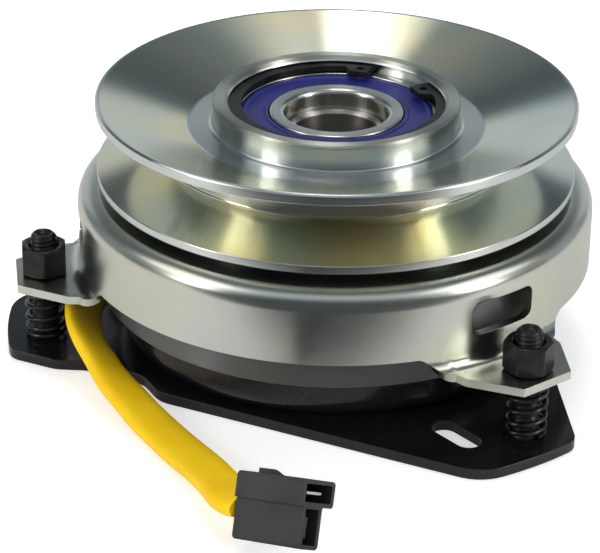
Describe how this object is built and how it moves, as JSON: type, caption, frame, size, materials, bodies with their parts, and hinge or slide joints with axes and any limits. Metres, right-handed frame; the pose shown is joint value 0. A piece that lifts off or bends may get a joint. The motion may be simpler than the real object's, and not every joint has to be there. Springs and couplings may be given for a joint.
{
  "type": "pto clutch",
  "caption": "Electric power take-off clutch: V-groove pulley above a round brake plate on sprung studs and a lobed mounting plate, with a flat lead and small plug.",
  "frame": {"origin": "on the shaft axis, at the underside of the mounting plate", "axes": "+Z along the shaft axis, from the mounting plate up through the pulley; the lead leaves towards -Y"},
  "size_m": [0.1738, 0.2307, 0.0762],
  "materials": {
    "zinc_plate": "bright zinc plate over turned or drawn steel",
    "bright_steel": "ground",
    "black_paint": "gloss",
    "black_oxide": "satin",
    "spring_steel": "oiled",
    "rotor_iron": "turned",
    "blue_seal": "satin",
    "friction_lining": "rough",
    "nylon": "moulded",
    "copper": "enamelled wire",
    "resin": "cast",
    "yellow_sleeve": "soft vinyl sleeve",
    "plug_plastic": "moulded",
    "tin": "tin plate"
  },
  "bodies": {
    "field": {"mounting_plate": "black_paint", "field_shell": "black_paint", "coil_bobbin": "nylon", "coil_winding": "copper", "coil_potting": "resin", "field_bearing_outer_ring": "bright_steel", "field_bearing_upper_seal": "blue_seal", "field_bearing_lower_seal": "blue_seal", "stud_1": "black_oxide", "stud_2": "black_oxide", "stud_3": "black_oxide", "adjusting_nut_1": "black_oxide", "adjusting_nut_2": "black_oxide", "adjusting_nut_3": "black_oxide", "spring_1": "spring_steel", "spring_2": "spring_steel", "spring_3": "spring_steel", "brake_plate": "zinc_plate", "brake_pad_1": "friction_lining", "brake_pad_2": "friction_lining", "brake_pad_3": "friction_lining", "lead_grommet": "resin", "lead": "yellow_sleeve", "plug_housing": "plug_plastic", "contact_level": "tin", "contact_upright": "tin"},
    "rotor": {"rotor_hub": "bright_steel", "rotor_disc": "rotor_iron", "field_bearing_inner_ring": "bright_steel", "pulley_bearing_inner_ring": "bright_steel"},
    "pulley": {"pulley": "zinc_plate", "pulley_bearing_outer_ring": "bright_steel", "pulley_bearing_upper_seal": "blue_seal", "pulley_bearing_lower_seal": "blue_seal", "snap_ring": "spring_steel", "leaf_spring_1": "spring_steel", "leaf_spring_2": "spring_steel", "leaf_spring_3": "spring_steel", "pulley_rivet_1": "bright_steel", "pulley_rivet_2": "bright_steel", "pulley_rivet_3": "bright_steel"},
    "armature": {"armature": "rotor_iron", "armature_rivet_1": "bright_steel", "armature_rivet_2": "bright_steel", "armature_rivet_3": "bright_steel"},
    "field_cage": {"field_bearing_balls_and_cage": "bright_steel"},
    "pulley_cage": {"pulley_bearing_balls_and_cage": "bright_steel"}
  },
  "joints": [
    {"name": "rotor_spin", "type": "hinge", "parent": "field", "child": "rotor", "pos_m": [0, 0, 0.03], "axis": [0, 0, 1], "continuous": true},
    {"name": "pulley_spin", "type": "hinge", "parent": "rotor", "child": "pulley", "pos_m": [0, 0, 0.06], "axis": [0, 0, 1], "continuous": true},
    {"name": "armature_pull", "type": "slide", "parent": "pulley", "child": "armature", "axis": [0, 0, -1], "range_m": [0, 0.0004], "stiffness_N_per_m": 20000, "springref_m": -0.001, "deforming": ["leaf_spring_1", "leaf_spring_2", "leaf_spring_3"]},
    {"name": "field_cage_spin", "type": "hinge", "parent": "field", "child": "field_cage", "pos_m": [0, 0, 0.016], "axis": [0, 0, 1], "continuous": true},
    {"name": "pulley_cage_spin", "type": "hinge", "parent": "rotor", "child": "pulley_cage", "pos_m": [0, 0, 0.063], "axis": [0, 0, 1], "continuous": true}
  ],
  "couplings": [
    {"joint": "field_cage_spin", "follows": "rotor_spin", "ratio": 0.4259},
    {"joint": "pulley_cage_spin", "follows": "pulley_spin", "ratio": 0.5978}
  ]
}
